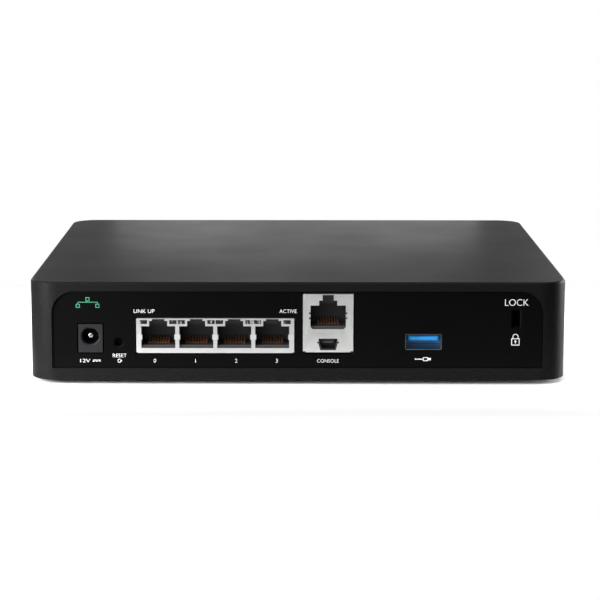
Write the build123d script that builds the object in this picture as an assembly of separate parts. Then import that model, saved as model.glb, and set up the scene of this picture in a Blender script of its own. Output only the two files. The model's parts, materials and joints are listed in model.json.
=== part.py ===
from build123d import *
import os

# Desktop firewall appliance. Millimetres, +Z up, port side facing -Y.
# Origin: centre of the floor plane the four rubber feet stand on.

# ---- how far a cutting shape runs past the face it cuts ----
OVER = 1.0

# ---- case ----
CASE_W = 198.0
CASE_D = 175.0
CASE_H = 36.6
FOOT_H = 1.6
CORNER_R = 10.2
WALL = 2.0
TOP_T = 2.2
TOP_EDGE_R = 0.8
BOTTOM_EDGE_R = 0.35
TOP_Z = FOOT_H + CASE_H
CEILING_Z = TOP_Z - TOP_T
FRONT_Y = -CASE_D / 2
REAR_Y = CASE_D / 2
FRONT_IN_Y = FRONT_Y + WALL

# ---- port panel ----
PANEL_X = (-90.4, 90.05)
PANEL_Z = (6.2, 34.6)
PANEL_R = 8.3
PANEL_GAP = 0.12
PANEL_SINK = 0.9
PANEL_FACE_Y = FRONT_Y + PANEL_SINK
FLANGE_GROW = 1.1
FLANGE_GAP = 0.02
FLANGE_T = 1.4
PANEL_BACK_Y = FRONT_IN_Y + FLANGE_GAP + FLANGE_T
CUT_GAP = 0.15
PORT_CUT_GAP = 0.4
RIM_BEVEL = 0.18
PORT_PROUD = 0.2
PORT_FACE_Y = PANEL_FACE_Y - PORT_PROUD

# ---- base plate ----
BASE_GAP = 0.15
BASE_T = 2.4
BASE_TOP_Z = FOOT_H + BASE_T
FOOT_AT = [(-78.0, -66.0), (78.0, -66.0), (-78.0, 66.0), (78.0, 66.0)]
FOOT_R = 7.0
FOOT_SEAT = 0.8
FOOT_SEAT_GAP = 0.1
FOOT_EDGE_R = 0.4
VENT_X = [-36.0, -30.0, -24.0, -18.0, -12.0, -6.0, 0.0, 6.0, 12.0, 18.0, 24.0, 30.0, 36.0]
VENT_ROWS_Y = [-14.0, 14.0]
VENT_SLOT = (2.2, 22.0)
KEYHOLE_X = [-55.0, 55.0]
KEYHOLE_Y = 0.0
KEYHOLE_HEAD_R = 4.2
KEYHOLE_NECK_R = 2.1
KEYHOLE_RUN = 9.0

# ---- case screws ----
CASE_SCREW_AT = [(-89.5, -77.0), (89.5, -77.0), (-89.5, 77.0), (89.5, 77.0)]
CASE_SCREW_R = 1.45
CASE_SCREW_HEAD_R = 2.7
CASE_SCREW_HEAD_H = 1.2
CASE_SCREW_END_Z = 14.0
SCREW_TIP_ROOM = 1.0
BOSS_R = 3.6
BOSS_GAP = 0.1
THREAD_GAP = 0.05
HEAD_GAP = 0.2
CROSS_W = 0.8
CROSS_L = 3.0
CROSS_DEPTH = 0.7

# ---- main board ----
BOARD_X = (-85.0, 85.0)
BOARD_Y = (-83.6, 72.0)
BOARD_T = 1.6
BOARD_Z = 11.7
BOARD_LOW_Z = BOARD_Z - BOARD_T
BOARD_R = 1.5
POST_AT = [(-80.0, -58.0), (30.0, -58.0), (80.0, -58.0), (-80.0, 64.0), (0.0, 64.0), (80.0, 64.0)]
POST_R = 3.2
POST_HOLE_DEPTH = 5.5
BOARD_SCREW_R = 1.25
BOARD_SCREW_HOLE_R = 1.6
BOARD_SCREW_HEAD_R = 2.6
BOARD_SCREW_HEAD_H = 1.6
BOARD_SCREW_L = 6.5

# ---- barrel power jack ----
DC_X = -76.4
DC_W = 8.9
DC_Z = (BOARD_Z, 22.4)
DC_FACE_LOW = 11.9
DC_CUT_GAP = 0.35
DC_DEPTH = 14.0
DC_HOLE_Z = 18.0
DC_HOLE_R = 3.15
DC_HOLE_DEPTH = 10.5
DC_LEAD_IN = 0.5
DC_PIN_R = 1.0
DC_PIN_FRONT = 1.6
DC_PIN_ROOT_R = 0.8
DC_LEAF_R = (2.7, 3.1)
DC_LEAF_SPREAD = (20.0, 108.0)
DC_LEAF_FRONT = 2.0
DC_LEAF_SLIT = 1.2

# ---- reset button behind its pinhole ----
RESET_X = -66.0
RESET_Z = 15.6
RESET_HOLE_R = 1.4
RESET_BEVEL = 0.55
RESET_TIP_Y = PANEL_BACK_Y + 2.0
RESET_BODY_Y = (RESET_TIP_Y + 2.0, RESET_TIP_Y + 5.6)
RESET_BODY_W = 6.0
RESET_BODY_TOP = 19.0
RESET_R = 1.6
RESET_FIT = 0.08
RESET_COLLAR_R = 2.1
RESET_CAVITY_R = 2.4
RESET_CAVITY_Y = (RESET_BODY_Y[0] + 0.7, RESET_BODY_Y[0] + 2.9)
RESET_COLLAR_Y = (RESET_CAVITY_Y[0] + 0.1, RESET_CAVITY_Y[0] + 0.6)
RESET_DOME_Y = RESET_COLLAR_Y[1] + 0.4
RESET_DOME_T = 0.25
RESET_DOME_BEVEL = 0.6

# ---- network jacks ----
SHEET = 0.2
SEAT_GAP = 0.05
LAN_X = -30.5
LAN_W = 58.0
LAN_Z = (BOARD_Z, 24.6)
LAN_DEPTH = 25.0
LAN_PITCH = 13.97
LAN_PORTS = 4
LAN_PORTS_X = [LAN_X + (i - (LAN_PORTS - 1) / 2) * LAN_PITCH for i in range(LAN_PORTS)]
LAN_OPEN_Z = (13.55, 21.7)
LAN_KEY_Z = (23.7, 24.4)
LAN_CORNER = 0.55
JACK_W = 12.5
KEY_W = 6.65
KEY_TIP_W = 4.65
LIP_H = 1.0
LIP_BEVEL = 0.35
LIP_SINK = 0.3
JACK_CAVITY_DEPTH = 12.5
JACK_NOTCH_DEPTH = 6.0
WIRES = 8
WIRE_PITCH = 1.02
WIRE_W = 0.46
WIRE_T = 0.22
WIRE_Y = (3.4, 10.5)
WIRE_RISE = 1.3
WIRE_LIFT = 0.25
WIRE_TAIL = 1.6
LED_OFFSET = 5.45
LED_W = 2.75
LED_Z = (22.5, 24.0)
LED_DEPTH = 4.0
LED_GAP = 0.05
FINGER_W = 2.2
FINGER_Z = (16.75, 18.55)
FINGER_PROUD = 0.2

# ---- console jack over micro USB ----
CON_X = 11.0
CON_W = 18.5
CON_Z = (BOARD_Z, 33.7)
CON_DEPTH = 20.0
CON_FACE_LOW = 12.0
CON_TAB_W = 16.3
CON_TAB_H = 0.4
CON_OPEN_Z = (20.65, 29.45)
CON_OPEN_W = 13.0
CON_OPEN_CORNER = 0.8
CON_KEY_Z = (31.3, 33.45)
CON_KEY_TIP_W = 4.1
CON_SEAM_X = -0.4
CON_SEAM_Z = 18.85
CON_SEAM_W = 12.6
CON_SEAM_H = 0.28
CON_SEAM_DEPTH = 0.15
CON_NOTCH_W = 0.55
CON_NOTCH_Z = [(24.35, 25.05), (26.2, 26.9)]
MICRO_TOP = (6.4, 16.8)
MICRO_WAIST_Z = 15.2
MICRO_LOW = (5.2, 13.1)
MICRO_GAP = 0.3
MICRO_DEPTH = 6.0
MICRO_EAR = 0.85
MICRO_EAR_Z = (15.35, 15.95)
MICRO_EAR_T = 0.25
MICRO_TONGUE = (4.0, 0.7)
MICRO_TONGUE_Z = 15.4
MICRO_TONGUE_Y = (1.0, 6.25)
MICRO_WIRE = (0.4, 0.12)
MICRO_WIRE_PITCH = 0.65
MICRO_WIRE_BACK = 0.4
MICRO_WIRES = 5

# ---- USB type A ----
USB_X = 46.2
USB_Z = 15.7
USB_OUT = (13.5, 5.9)
USB_CUT = (14.0, 6.4)
USB_R = 0.6
USB_SINK = 1.0
USB_DEPTH = 14.0
USB_FOOT_W = 1.2
USB_FOOT_BACK = 1.0
USB_TONGUE = (11.1, 1.8)
USB_TONGUE_RISE = 1.1
USB_TONGUE_BEVEL = 0.4
USB_TONGUE_Y = (1.6, 12.5)
USB_WIRE = (1.1, 0.2)
USB_WIRE_AT = [-3.5, -1.0, 1.0, 3.5]
USB_WIRE_Y = (2.3, 9.0)

# ---- security slot ----
LOCK_X = 80.15
LOCK_Z = 24.4
LOCK_SLOT = (3.0, 6.9)
LOCK_BEVEL = 0.35
LOCK_PLATE = (15.0, 14.0)
LOCK_PLATE_T = 1.0
LOCK_PLATE_GAP = 0.02
LOCK_PLATE_PLAY = 0.2
LOCK_PEG_X = [LOCK_X - 5.0, LOCK_X + 5.0]
LOCK_PEG_R = 1.0

# ---- status light pipes ----
PIPE_X = [-12.0, 0.0, 12.0]
PIPE_Z = 16.0
PIPE_W = 2.0
PIPE_GAP = 0.1
PIPE_FOOT_Y = 68.0
PIPE_FOOT_Z = 13.0
STATUS_LED = (1.6, 1.6, 0.7)

# ---- parts on the board: (x, y) places and (w, d, h) sizes ----
CPU_AT = (12.0, -6.0)
CPU_SIZE = (23.0, 23.0, 1.0)
CPU_LID = (17.0, 17.0, 1.2)
PAD_SIZE = (18.0, 18.0, 0.8)
SINK_BASE = (62.0, 62.0, 3.0)
SINK_TOP_Z = 33.5
SINK_FINS = 13
SINK_FIN_T = 1.3
SINK_BOLT_OFF = 24.0
SINK_BOLT_R = 1.4
SINK_BOLT_HEAD_R = 2.7
SINK_BOLT_HEAD_H = 1.6
SINK_BOLT_LIFT = 4.0
SINK_BOLT_TIP = 1.0
SINK_CLEAR_R = 4.2
SPRING_R = 2.1
SPRING_WIRE_R = 0.25
SPRING_TURNS = 4
MEMORY_AT = [(-36.0, -14.0), (-36.0, 2.0)]
MEMORY_SIZE = (14.0, 9.0, 1.1)
FLASH_AT = (-36.0, 18.0)
FLASH_SIZE = (13.0, 11.5, 1.0)
SWITCH_AT = (-40.0, -34.0)
SWITCH_SIZE = (16.0, 16.0, 1.2)
MAGNETICS_AT = [(x, -52.5) for x in LAN_PORTS_X]
MAGNETICS_SIZE = (11.0, 9.0, 5.0)
INDUCTOR_AT = [(-72.0, -44.0), (-72.0, -32.0), (-72.0, -20.0)]
INDUCTOR_SIZE = (7.0, 7.0, 4.0)
CAPACITOR_AT = [(-61.0, -40.0), (-61.0, -28.0), (-61.0, -16.0)]
CAPACITOR_R = 4.0
CAPACITOR_H = 11.5
CAPACITOR_GROOVE_Z = 2.0
CAPACITOR_GROOVE = 0.3
REGULATOR_AT = [(-72.0, -4.0), (60.0, -30.0)]
REGULATOR_SIZE = (6.0, 6.0, 1.0)
CRYSTAL_AT = (-18.0, -30.0)
CRYSTAL_SIZE = (5.0, 3.2, 1.1)
CONSOLE_CHIP_AT = (12.0, -55.0)
CONSOLE_CHIP_SIZE = (7.0, 6.0, 1.2)
USB_SWITCH_AT = (46.7, -62.0)
USB_SWITCH_SIZE = (3.0, 3.0, 1.0)
CELL_AT = (62.0, 22.0)
CELL_R = 10.0
CELL_H = 3.2
CELL_GAP = 0.1
CELL_EDGE = 0.4
HOLDER_R = 11.6
HOLDER_H = 4.2
HOLDER_FLOOR = 0.8
CLIP_W = 5.0
CLIP_T = 0.4
CHIP_PART_SIZE = (1.6, 0.8, 0.7)
CHIP_PART_ROWS = [
    (-58.0, 30.0, 8, 4.0),
    (52.0, -10.0, 6, 4.0),
    (-58.0, 44.0, 8, 4.0),
    (52.0, -44.0, 5, 4.0),
]


def block(x, y, z):
    """Box between three (low, high) pairs."""
    middle = Pos((x[0] + x[1]) / 2, (y[0] + y[1]) / 2, (z[0] + z[1]) / 2)
    return middle * Box(x[1] - x[0], y[1] - y[0], z[1] - z[0])


def standing(at, size, z):
    """Box of size (w, d, h) centred over a place, standing on z."""
    w, d, h = size
    return block((at[0] - w / 2, at[0] + w / 2), (at[1] - d / 2, at[1] + d / 2), (z, z + h))


def post(at, z, r):
    """Upright cylinder between two heights."""
    return Pos(at[0], at[1], (z[0] + z[1]) / 2) * Cylinder(r, z[1] - z[0])


def rod(x, z, y, r):
    """Cylinder lying along Y."""
    return Pos(x, (y[0] + y[1]) / 2, z) * Rot(90, 0, 0) * Cylinder(r, y[1] - y[0])


def slab(w, d, r, z):
    """Rounded rectangle, upright, between two heights."""
    return Pos(0, 0, z[0]) * extrude(RectangleRounded(w, d, r), z[1] - z[0])


def prism(sketch, y):
    """XZ outline carried along Y between two places."""
    return extrude(Plane.XZ.offset(-y[1]) * sketch, y[1] - y[0])


def group(solids):
    """Several separate solids in one file."""
    return Compound(children=list(solids))


def save(name, shape):
    shape.label = name
    export_step(shape, f"parts/{name}.step")


def panel_outline(grow):
    """Panel shape: rounded upper corners, square lower ones."""
    w = PANEL_X[1] - PANEL_X[0] + 2 * grow
    h = PANEL_Z[1] - PANEL_Z[0] + 2 * grow
    r = PANEL_R + grow
    shape = RectangleRounded(w, h, r) + Pos(0, -r / 2) * Rectangle(w, h - r)
    return Pos(sum(PANEL_X) / 2, sum(PANEL_Z) / 2) * shape


def rim_bevel(outline, face_y):
    """Wedge all round an opening that breaks its front edge at 45 degrees."""
    deep = Plane(origin=(0, face_y + RIM_BEVEL, 0), x_dir=(1, 0, 0), z_dir=(0, -1, 0))
    return extrude(deep * outline, 2 * RIM_BEVEL, taper=-45)


def face_outline(x, z, grow):
    """Plain rectangle on the port side."""
    shape = Rectangle(x[1] - x[0] + 2 * grow, z[1] - z[0] + 2 * grow)
    return Pos((x[0] + x[1]) / 2, (z[0] + z[1]) / 2) * shape


def stepped_mouth(x, wide, open_z, key_z, tip_w, corner=0):
    """Modular jack mouth: a rectangle with a stepped latch notch above it."""
    low, high = open_z
    half = wide / 2
    foot = [(half - corner, low), (half, low + corner)] if corner else [(half, low)]
    right = foot + [
        (half, high),
        (KEY_W / 2, high),
        (KEY_W / 2, key_z[0]),
        (tip_w / 2, key_z[0]),
        (tip_w / 2, key_z[1]),
    ]
    left = [(-px, pz) for px, pz in reversed(right)]
    return Pos(x, 0) * make_face(Polyline(*right, *left, close=True))


def micro_outline(grow):
    """Micro USB mouth: straight shoulders over a tapered foot."""
    top, low = MICRO_TOP, MICRO_LOW
    right = [(low[0] / 2, low[1]), (top[0] / 2, MICRO_WAIST_Z), (top[0] / 2, top[1])]
    left = [(-px, pz) for px, pz in reversed(right)]
    shape = make_face(Polyline(*right, *left, close=True))
    return Pos(CON_X, 0) * (offset(shape, amount=grow, kind=Kind.INTERSECTION) if grow else shape)


def micro_ears(height):
    """The two small side tabs of the micro USB mouth, or the notches they sit in."""
    middle = sum(MICRO_EAR_Z) / 2
    out = MICRO_TOP[0] / 2 + MICRO_EAR
    return face_outline((CON_X - out, CON_X + out), (middle - height / 2, middle + height / 2), 0)


def span(centre, width):
    return (centre - width / 2, centre + width / 2)


def make_top_cover():
    body = slab(CASE_W, CASE_D, CORNER_R, (FOOT_H, TOP_Z))
    body = fillet(body.edges().group_by(Axis.Z)[-1], TOP_EDGE_R)
    body = fillet(body.edges().group_by(Axis.Z)[0], BOTTOM_EDGE_R)
    inner = slab(CASE_W - 2 * WALL, CASE_D - 2 * WALL, CORNER_R - WALL, (0, CEILING_Z))
    cover = body - inner
    cover -= prism(panel_outline(PANEL_GAP), (FRONT_Y - WALL, FRONT_IN_Y + WALL / 2))
    cover -= rim_bevel(panel_outline(PANEL_GAP), FRONT_Y)
    for at in CASE_SCREW_AT:
        cover += post(at, (BASE_TOP_Z + BOSS_GAP, CEILING_Z + TOP_T / 2), BOSS_R)
    for at in CASE_SCREW_AT:
        cover -= post(at, (0, CASE_SCREW_END_Z + SCREW_TIP_ROOM), CASE_SCREW_R + THREAD_GAP)
    for x in PIPE_X:
        window = (span(x, PIPE_W + 2 * PIPE_GAP), span(PIPE_Z, PIPE_W + 2 * PIPE_GAP))
        cover -= block(window[0], (REAR_Y - 2 * WALL, REAR_Y + WALL), window[1])
    return cover


def make_base_plate():
    inset = 2 * (WALL + BASE_GAP)
    plate = slab(CASE_W - inset, CASE_D - inset, CORNER_R - WALL - BASE_GAP, (FOOT_H, BASE_TOP_Z))
    for at in FOOT_AT:
        plate -= post(at, (0, FOOT_H + FOOT_SEAT), FOOT_R + FOOT_SEAT_GAP)
    for at in CASE_SCREW_AT:
        plate -= post(at, (0, BASE_TOP_Z + OVER), CASE_SCREW_R + HEAD_GAP)
        plate -= post(at, (0, FOOT_H + CASE_SCREW_HEAD_H), CASE_SCREW_HEAD_R + HEAD_GAP)
    for y in VENT_ROWS_Y:
        for x in VENT_X:
            slot = extrude(SlotOverall(VENT_SLOT[1], VENT_SLOT[0]), BASE_TOP_Z + OVER)
            plate -= Pos(x, y, 0) * Rot(0, 0, 90) * slot
    for x in KEYHOLE_X:
        plate -= post((x, KEYHOLE_Y), (0, BASE_TOP_Z + OVER), KEYHOLE_HEAD_R)
        plate -= post((x, KEYHOLE_Y + KEYHOLE_RUN), (0, BASE_TOP_Z + OVER), KEYHOLE_NECK_R)
        neck_y = (KEYHOLE_Y, KEYHOLE_Y + KEYHOLE_RUN)
        plate -= block(span(x, 2 * KEYHOLE_NECK_R), neck_y, (0, BASE_TOP_Z + OVER))
    for at in POST_AT:
        plate += post(at, (BASE_TOP_Z - OVER, BOARD_LOW_Z), POST_R)
    for at in POST_AT:
        plate -= post(at, (BOARD_LOW_Z - POST_HOLE_DEPTH, BOARD_LOW_Z + OVER), BOARD_SCREW_R + THREAD_GAP)
    return plate


def make_port_panel():
    panel = prism(panel_outline(0), (PANEL_FACE_Y, FRONT_IN_Y + FLANGE_GAP + FLANGE_T))
    flange = prism(panel_outline(FLANGE_GROW), (FRONT_IN_Y + FLANGE_GAP, PANEL_BACK_Y))
    inset = 2 * (WALL + FLANGE_GAP)
    room = slab(CASE_W - inset, CASE_D - inset, CORNER_R - WALL - FLANGE_GAP, (BASE_TOP_Z, CEILING_Z))
    panel += flange & room
    through = (FRONT_Y, PANEL_BACK_Y + OVER)
    cuts = [
        face_outline(span(DC_X, DC_W), (DC_FACE_LOW, DC_Z[1]), DC_CUT_GAP),
        face_outline(span(LAN_X, LAN_W), LAN_Z, PORT_CUT_GAP),
        face_outline(span(CON_X, CON_W), CON_Z, PORT_CUT_GAP),
    ]
    for cut in cuts:
        panel -= prism(cut, through)
        panel -= rim_bevel(cut, PANEL_FACE_Y)
    panel -= prism(Pos(USB_X, USB_Z) * RectangleRounded(*USB_CUT, USB_R), through)
    panel -= rod(RESET_X, RESET_Z, through, RESET_HOLE_R)
    panel -= reset_bevel()
    panel -= prism(Pos(LOCK_X, LOCK_Z) * Rectangle(*LOCK_SLOT), through)
    for side in (-1, 1):
        panel -= lock_bevel(side)
    for x in LOCK_PEG_X:
        panel += rod(x, LOCK_Z, (PANEL_BACK_Y - FLANGE_T / 2, PANEL_BACK_Y + LOCK_PLATE_T), LOCK_PEG_R)
    return panel


def reset_bevel():
    """Cone that breaks the edge of the pinhole."""
    cone = Cone(RESET_HOLE_R, RESET_HOLE_R + 2 * RESET_BEVEL, 2 * RESET_BEVEL)
    return Pos(RESET_X, PANEL_FACE_Y, RESET_Z) * Rot(90, 0, 0) * cone


def lock_bevel(side):
    """Sloping edge down one side of the lock slot."""
    edge = LOCK_X + side * LOCK_SLOT[0] / 2
    corners = [
        (edge, PANEL_FACE_Y - OVER),
        (edge + side * (LOCK_BEVEL + OVER), PANEL_FACE_Y - OVER),
        (edge + side * LOCK_BEVEL, PANEL_FACE_Y),
        (edge, PANEL_FACE_Y + LOCK_BEVEL),
    ]
    outline = make_face(Polyline(*corners, close=True))
    return extrude(Plane.XY.offset(LOCK_Z - LOCK_SLOT[1] / 2) * outline, LOCK_SLOT[1])


def make_rubber_feet():
    feet = []
    for at in FOOT_AT:
        foot = post(at, (0, FOOT_H + FOOT_SEAT), FOOT_R)
        feet.append(fillet(foot.edges().group_by(Axis.Z)[0], FOOT_EDGE_R))
    return group(feet)


def cross_recess(at, z, way):
    """Driver recess cut into a head whose face is at z; way is +1 for an upward face."""
    low, high = sorted((z - way * CROSS_DEPTH, z + way))
    bar_a = block(span(at[0], CROSS_L), span(at[1], CROSS_W), (low, high))
    bar_b = block(span(at[0], CROSS_W), span(at[1], CROSS_L), (low, high))
    return bar_a + bar_b


def make_case_screws():
    screws = []
    for at in CASE_SCREW_AT:
        head_top = FOOT_H + CASE_SCREW_HEAD_H
        screw = post(at, (FOOT_H + HEAD_GAP, head_top), CASE_SCREW_HEAD_R)
        screw += post(at, (head_top - HEAD_GAP, CASE_SCREW_END_Z), CASE_SCREW_R)
        screws.append(screw - cross_recess(at, FOOT_H + HEAD_GAP, -1))
    return group(screws)


def make_lock_bracket():
    y = (PANEL_BACK_Y + LOCK_PLATE_GAP, PANEL_BACK_Y + LOCK_PLATE_GAP + LOCK_PLATE_T)
    plate = prism(Pos(LOCK_X, LOCK_Z) * Rectangle(*LOCK_PLATE), y)
    hole = Rectangle(LOCK_SLOT[0] + LOCK_PLATE_PLAY, LOCK_SLOT[1] + LOCK_PLATE_PLAY)
    plate -= prism(Pos(LOCK_X, LOCK_Z) * hole, (y[0] - OVER, y[1] + OVER))
    for x in LOCK_PEG_X:
        plate -= rod(x, LOCK_Z, (y[0] - OVER, y[1] + OVER), LOCK_PEG_R + THREAD_GAP)
    return plate


def make_light_pipes():
    pipes = []
    for x in PIPE_X:
        bar = block(span(x, PIPE_W), (PIPE_FOOT_Y, REAR_Y), span(PIPE_Z, PIPE_W))
        leg = block(span(x, PIPE_W), (PIPE_FOOT_Y, PIPE_FOOT_Y + PIPE_W), (PIPE_FOOT_Z, PIPE_Z))
        pipes.append(bar + leg)
    return group(pipes)


def make_status_leds():
    return group(standing((x, PIPE_FOOT_Y + PIPE_W / 2), STATUS_LED, BOARD_Z) for x in PIPE_X)


def sink_bolt_places():
    x, y = CPU_AT
    off = SINK_BOLT_OFF
    return [(x - off, y + off), (x + off, y - off)]


def make_main_board():
    w, d = BOARD_X[1] - BOARD_X[0], BOARD_Y[1] - BOARD_Y[0]
    board = Pos(0, sum(BOARD_Y) / 2, 0) * slab(w, d, BOARD_R, (BOARD_LOW_Z, BOARD_Z))
    for at in POST_AT:
        board -= post(at, (0, TOP_Z), BOARD_SCREW_HOLE_R)
    for at in sink_bolt_places():
        board -= post(at, (0, TOP_Z), SINK_BOLT_R + THREAD_GAP)
    return board


def make_board_screws():
    screws = []
    for at in POST_AT:
        screw = post(at, (BOARD_Z, BOARD_Z + BOARD_SCREW_HEAD_H), BOARD_SCREW_HEAD_R)
        screw += post(at, (BOARD_Z - BOARD_SCREW_L, BOARD_Z), BOARD_SCREW_R)
        screws.append(screw - cross_recess(at, BOARD_Z + BOARD_SCREW_HEAD_H, 1))
    return group(screws)


def make_dc_jack_housing():
    body = block(span(DC_X, DC_W), (PORT_FACE_Y, PORT_FACE_Y + DC_DEPTH), DC_Z)
    hole_y = (PORT_FACE_Y - OVER, PORT_FACE_Y + DC_HOLE_DEPTH)
    body -= rod(DC_X, DC_HOLE_Z, hole_y, DC_HOLE_R)
    cone = Cone(DC_HOLE_R, DC_HOLE_R + 2 * DC_LEAD_IN, 2 * DC_LEAD_IN)
    body -= Pos(DC_X, PORT_FACE_Y, DC_HOLE_Z) * Rot(90, 0, 0) * cone
    back = PORT_FACE_Y + DC_DEPTH
    body -= rod(DC_X, DC_HOLE_Z, (hole_y[1] - OVER, back + OVER), DC_PIN_ROOT_R + THREAD_GAP)
    below = (BOARD_Z - OVER, DC_FACE_LOW)
    return body - block(span(DC_X, 2 * DC_W), (PORT_FACE_Y - OVER, PANEL_BACK_Y + CUT_GAP), below)


def make_dc_jack_pin():
    floor_y = PORT_FACE_Y + DC_HOLE_DEPTH
    pin = rod(DC_X, DC_HOLE_Z, (PORT_FACE_Y + DC_PIN_FRONT, floor_y), DC_PIN_R)
    pin = fillet(pin.edges().group_by(Axis.Y)[0], DC_PIN_R / 2)
    return pin + rod(DC_X, DC_HOLE_Z, (floor_y - OVER, PORT_FACE_Y + DC_DEPTH), DC_PIN_ROOT_R)


def side_strip(x, width, points, thick):
    """Bent strip: a YZ path thickened downward and carried across X."""
    low = [(y, z - thick) for y, z in reversed(points)]
    outline = make_face(Polyline(*points, *low, close=True))
    return extrude(Plane.YZ.offset(x - width / 2) * outline, width)


def make_dc_jack_contact():
    """Curved spring leaf lining the upper part of the bore, slit along its middle."""
    y = (PORT_FACE_Y + DC_LEAF_FRONT, PORT_FACE_Y + DC_HOLE_DEPTH - SEAT_GAP)
    inner, outer = DC_LEAF_R
    start, end = DC_LEAF_SPREAD
    sweep_arc = end - start
    lines = [
        CenterArc((0, 0), outer, start, sweep_arc),
        CenterArc((0, 0), inner, start, sweep_arc),
    ]
    lines.append(Line(lines[0] @ 0, lines[1] @ 0))
    lines.append(Line(lines[0] @ 1, lines[1] @ 1))
    leaf = prism(Pos(DC_X, DC_HOLE_Z) * make_face(lines), y)
    slit_y = (y[0] + DC_LEAF_SLIT, y[1] - DC_LEAF_SLIT)
    middle = (start + end) / 2
    slit = Box(outer * 2, slit_y[1] - slit_y[0], DC_LEAF_SLIT / 3)
    placed = Pos(DC_X, sum(slit_y) / 2, DC_HOLE_Z) * Rot(0, -middle, 0) * Pos(outer, 0, 0)
    return leaf - placed * slit


def make_reset_switch_body():
    body = block(span(RESET_X, RESET_BODY_W), RESET_BODY_Y, (BOARD_Z, RESET_BODY_TOP))
    body -= rod(RESET_X, RESET_Z, (RESET_BODY_Y[0] - OVER, RESET_CAVITY_Y[1]), RESET_R + RESET_FIT)
    body -= rod(RESET_X, RESET_Z, RESET_CAVITY_Y, RESET_CAVITY_R)
    return body


def make_reset_plunger():
    stem = rod(RESET_X, RESET_Z, (RESET_TIP_Y, RESET_COLLAR_Y[1]), RESET_R)
    return stem + rod(RESET_X, RESET_Z, RESET_COLLAR_Y, RESET_COLLAR_R)


def make_reset_dome():
    outer = rod(RESET_X, RESET_Z, (RESET_DOME_Y, RESET_CAVITY_Y[1]), RESET_COLLAR_R)
    outer = chamfer(outer.edges().group_by(Axis.Y)[0], RESET_DOME_BEVEL)
    hollow_y = (RESET_DOME_Y + RESET_DOME_T, RESET_CAVITY_Y[1] + OVER)
    inner = rod(RESET_X, RESET_Z, hollow_y, RESET_COLLAR_R - RESET_DOME_BEVEL)
    return outer - inner


def make_lan_jack_shield():
    x, z = span(LAN_X, LAN_W), LAN_Z
    y = (PORT_FACE_Y, PORT_FACE_Y + LAN_DEPTH)
    can = block(x, y, z)
    can -= block((x[0] + SHEET, x[1] - SHEET), (y[0] + SHEET, y[1] - SHEET), (z[0] - OVER, z[1] - SHEET))
    front = (y[0] - OVER, y[0] + SHEET + SEAT_GAP)
    for port in LAN_PORTS_X:
        can -= prism(stepped_mouth(port, JACK_W, LAN_OPEN_Z, LAN_KEY_Z, KEY_TIP_W), front)
        for side in (-LED_OFFSET, LED_OFFSET):
            can -= prism(face_outline(span(port + side, LED_W), LED_Z, 0), front)
    for edge in range(LAN_PORTS + 1):
        middle = LAN_X + (edge - LAN_PORTS / 2) * LAN_PITCH
        finger_x = (max(x[0], middle - FINGER_W / 2), min(x[1], middle + FINGER_W / 2))
        can += block(finger_x, (y[0] - FINGER_PROUD, y[0] + SHEET), FINGER_Z)
    for side in (-1, 1):
        can -= clipped_corner(LAN_X + side * LAN_W / 2, side)
    return can


def clipped_corner(x, side):
    """Wedge that cuts one lower front corner off the network shield."""
    c = LAN_CORNER
    low = LAN_Z[0]
    points = [
        (x + side, low - OVER),
        (x - side * c, low - OVER),
        (x - side * c, low),
        (x, low + c),
        (x + side, low + c),
    ]
    return prism(make_face(Polyline(*points, close=True)), (PORT_FACE_Y - OVER, PORT_FACE_Y + 2 * c))


def lip_bevel(x, wide, low):
    """Sinks the plastic lip of a jack a little and slopes its upper front edge."""
    front = PORT_FACE_Y
    top = low + LIP_H
    sunk = front + SHEET + SEAT_GAP + LIP_SINK
    over = top + THREAD_GAP
    corners = [
        (front, low),
        (sunk, low),
        (sunk, top - LIP_BEVEL),
        (sunk + LIP_BEVEL + THREAD_GAP, over),
        (front, over),
    ]
    outline = make_face(Polyline(*corners, close=True))
    return extrude(Plane.YZ.offset(x - wide / 2) * outline, wide)


def jack_cavity(x, wide, open_z, key_z, tip_w):
    """Plug space of a jack: deep where the plug goes, shallower in the latch notch."""
    front = PORT_FACE_Y - OVER
    notch = prism(stepped_mouth(x, wide, open_z, key_z, tip_w), (front, PORT_FACE_Y + JACK_NOTCH_DEPTH))
    plug = prism(face_outline(span(x, wide), open_z, 0), (front, PORT_FACE_Y + JACK_CAVITY_DEPTH))
    return notch + plug


def make_lan_jack_housing():
    inset = SHEET + SEAT_GAP
    x = span(LAN_X, LAN_W - 2 * inset)
    y = (PORT_FACE_Y + inset, PORT_FACE_Y + LAN_DEPTH - inset)
    body = block(x, y, (LAN_Z[0], LAN_Z[1] - inset))
    open_z = (LAN_OPEN_Z[0] + LIP_H, LAN_OPEN_Z[1])
    key_z = (LAN_KEY_Z[0], LAN_Z[1] - inset - SHEET)
    for port in LAN_PORTS_X:
        body -= jack_cavity(port, JACK_W, open_z, key_z, KEY_TIP_W)
        body -= lip_bevel(port, JACK_W, LAN_OPEN_Z[0])
        for side in (-LED_OFFSET, LED_OFFSET):
            pocket = face_outline(span(port + side, LED_W), LED_Z, 0)
            body -= prism(pocket, (y[0] - OVER, PORT_FACE_Y + LED_DEPTH + LED_GAP))
    return body


def make_lan_led_lenses():
    lenses = []
    for port in LAN_PORTS_X:
        for side in (-LED_OFFSET, LED_OFFSET):
            shape = face_outline(span(port + side, LED_W), LED_Z, -LED_GAP)
            lenses.append(prism(shape, (PORT_FACE_Y + LED_GAP, PORT_FACE_Y + LED_DEPTH)))
    return group(lenses)


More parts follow.
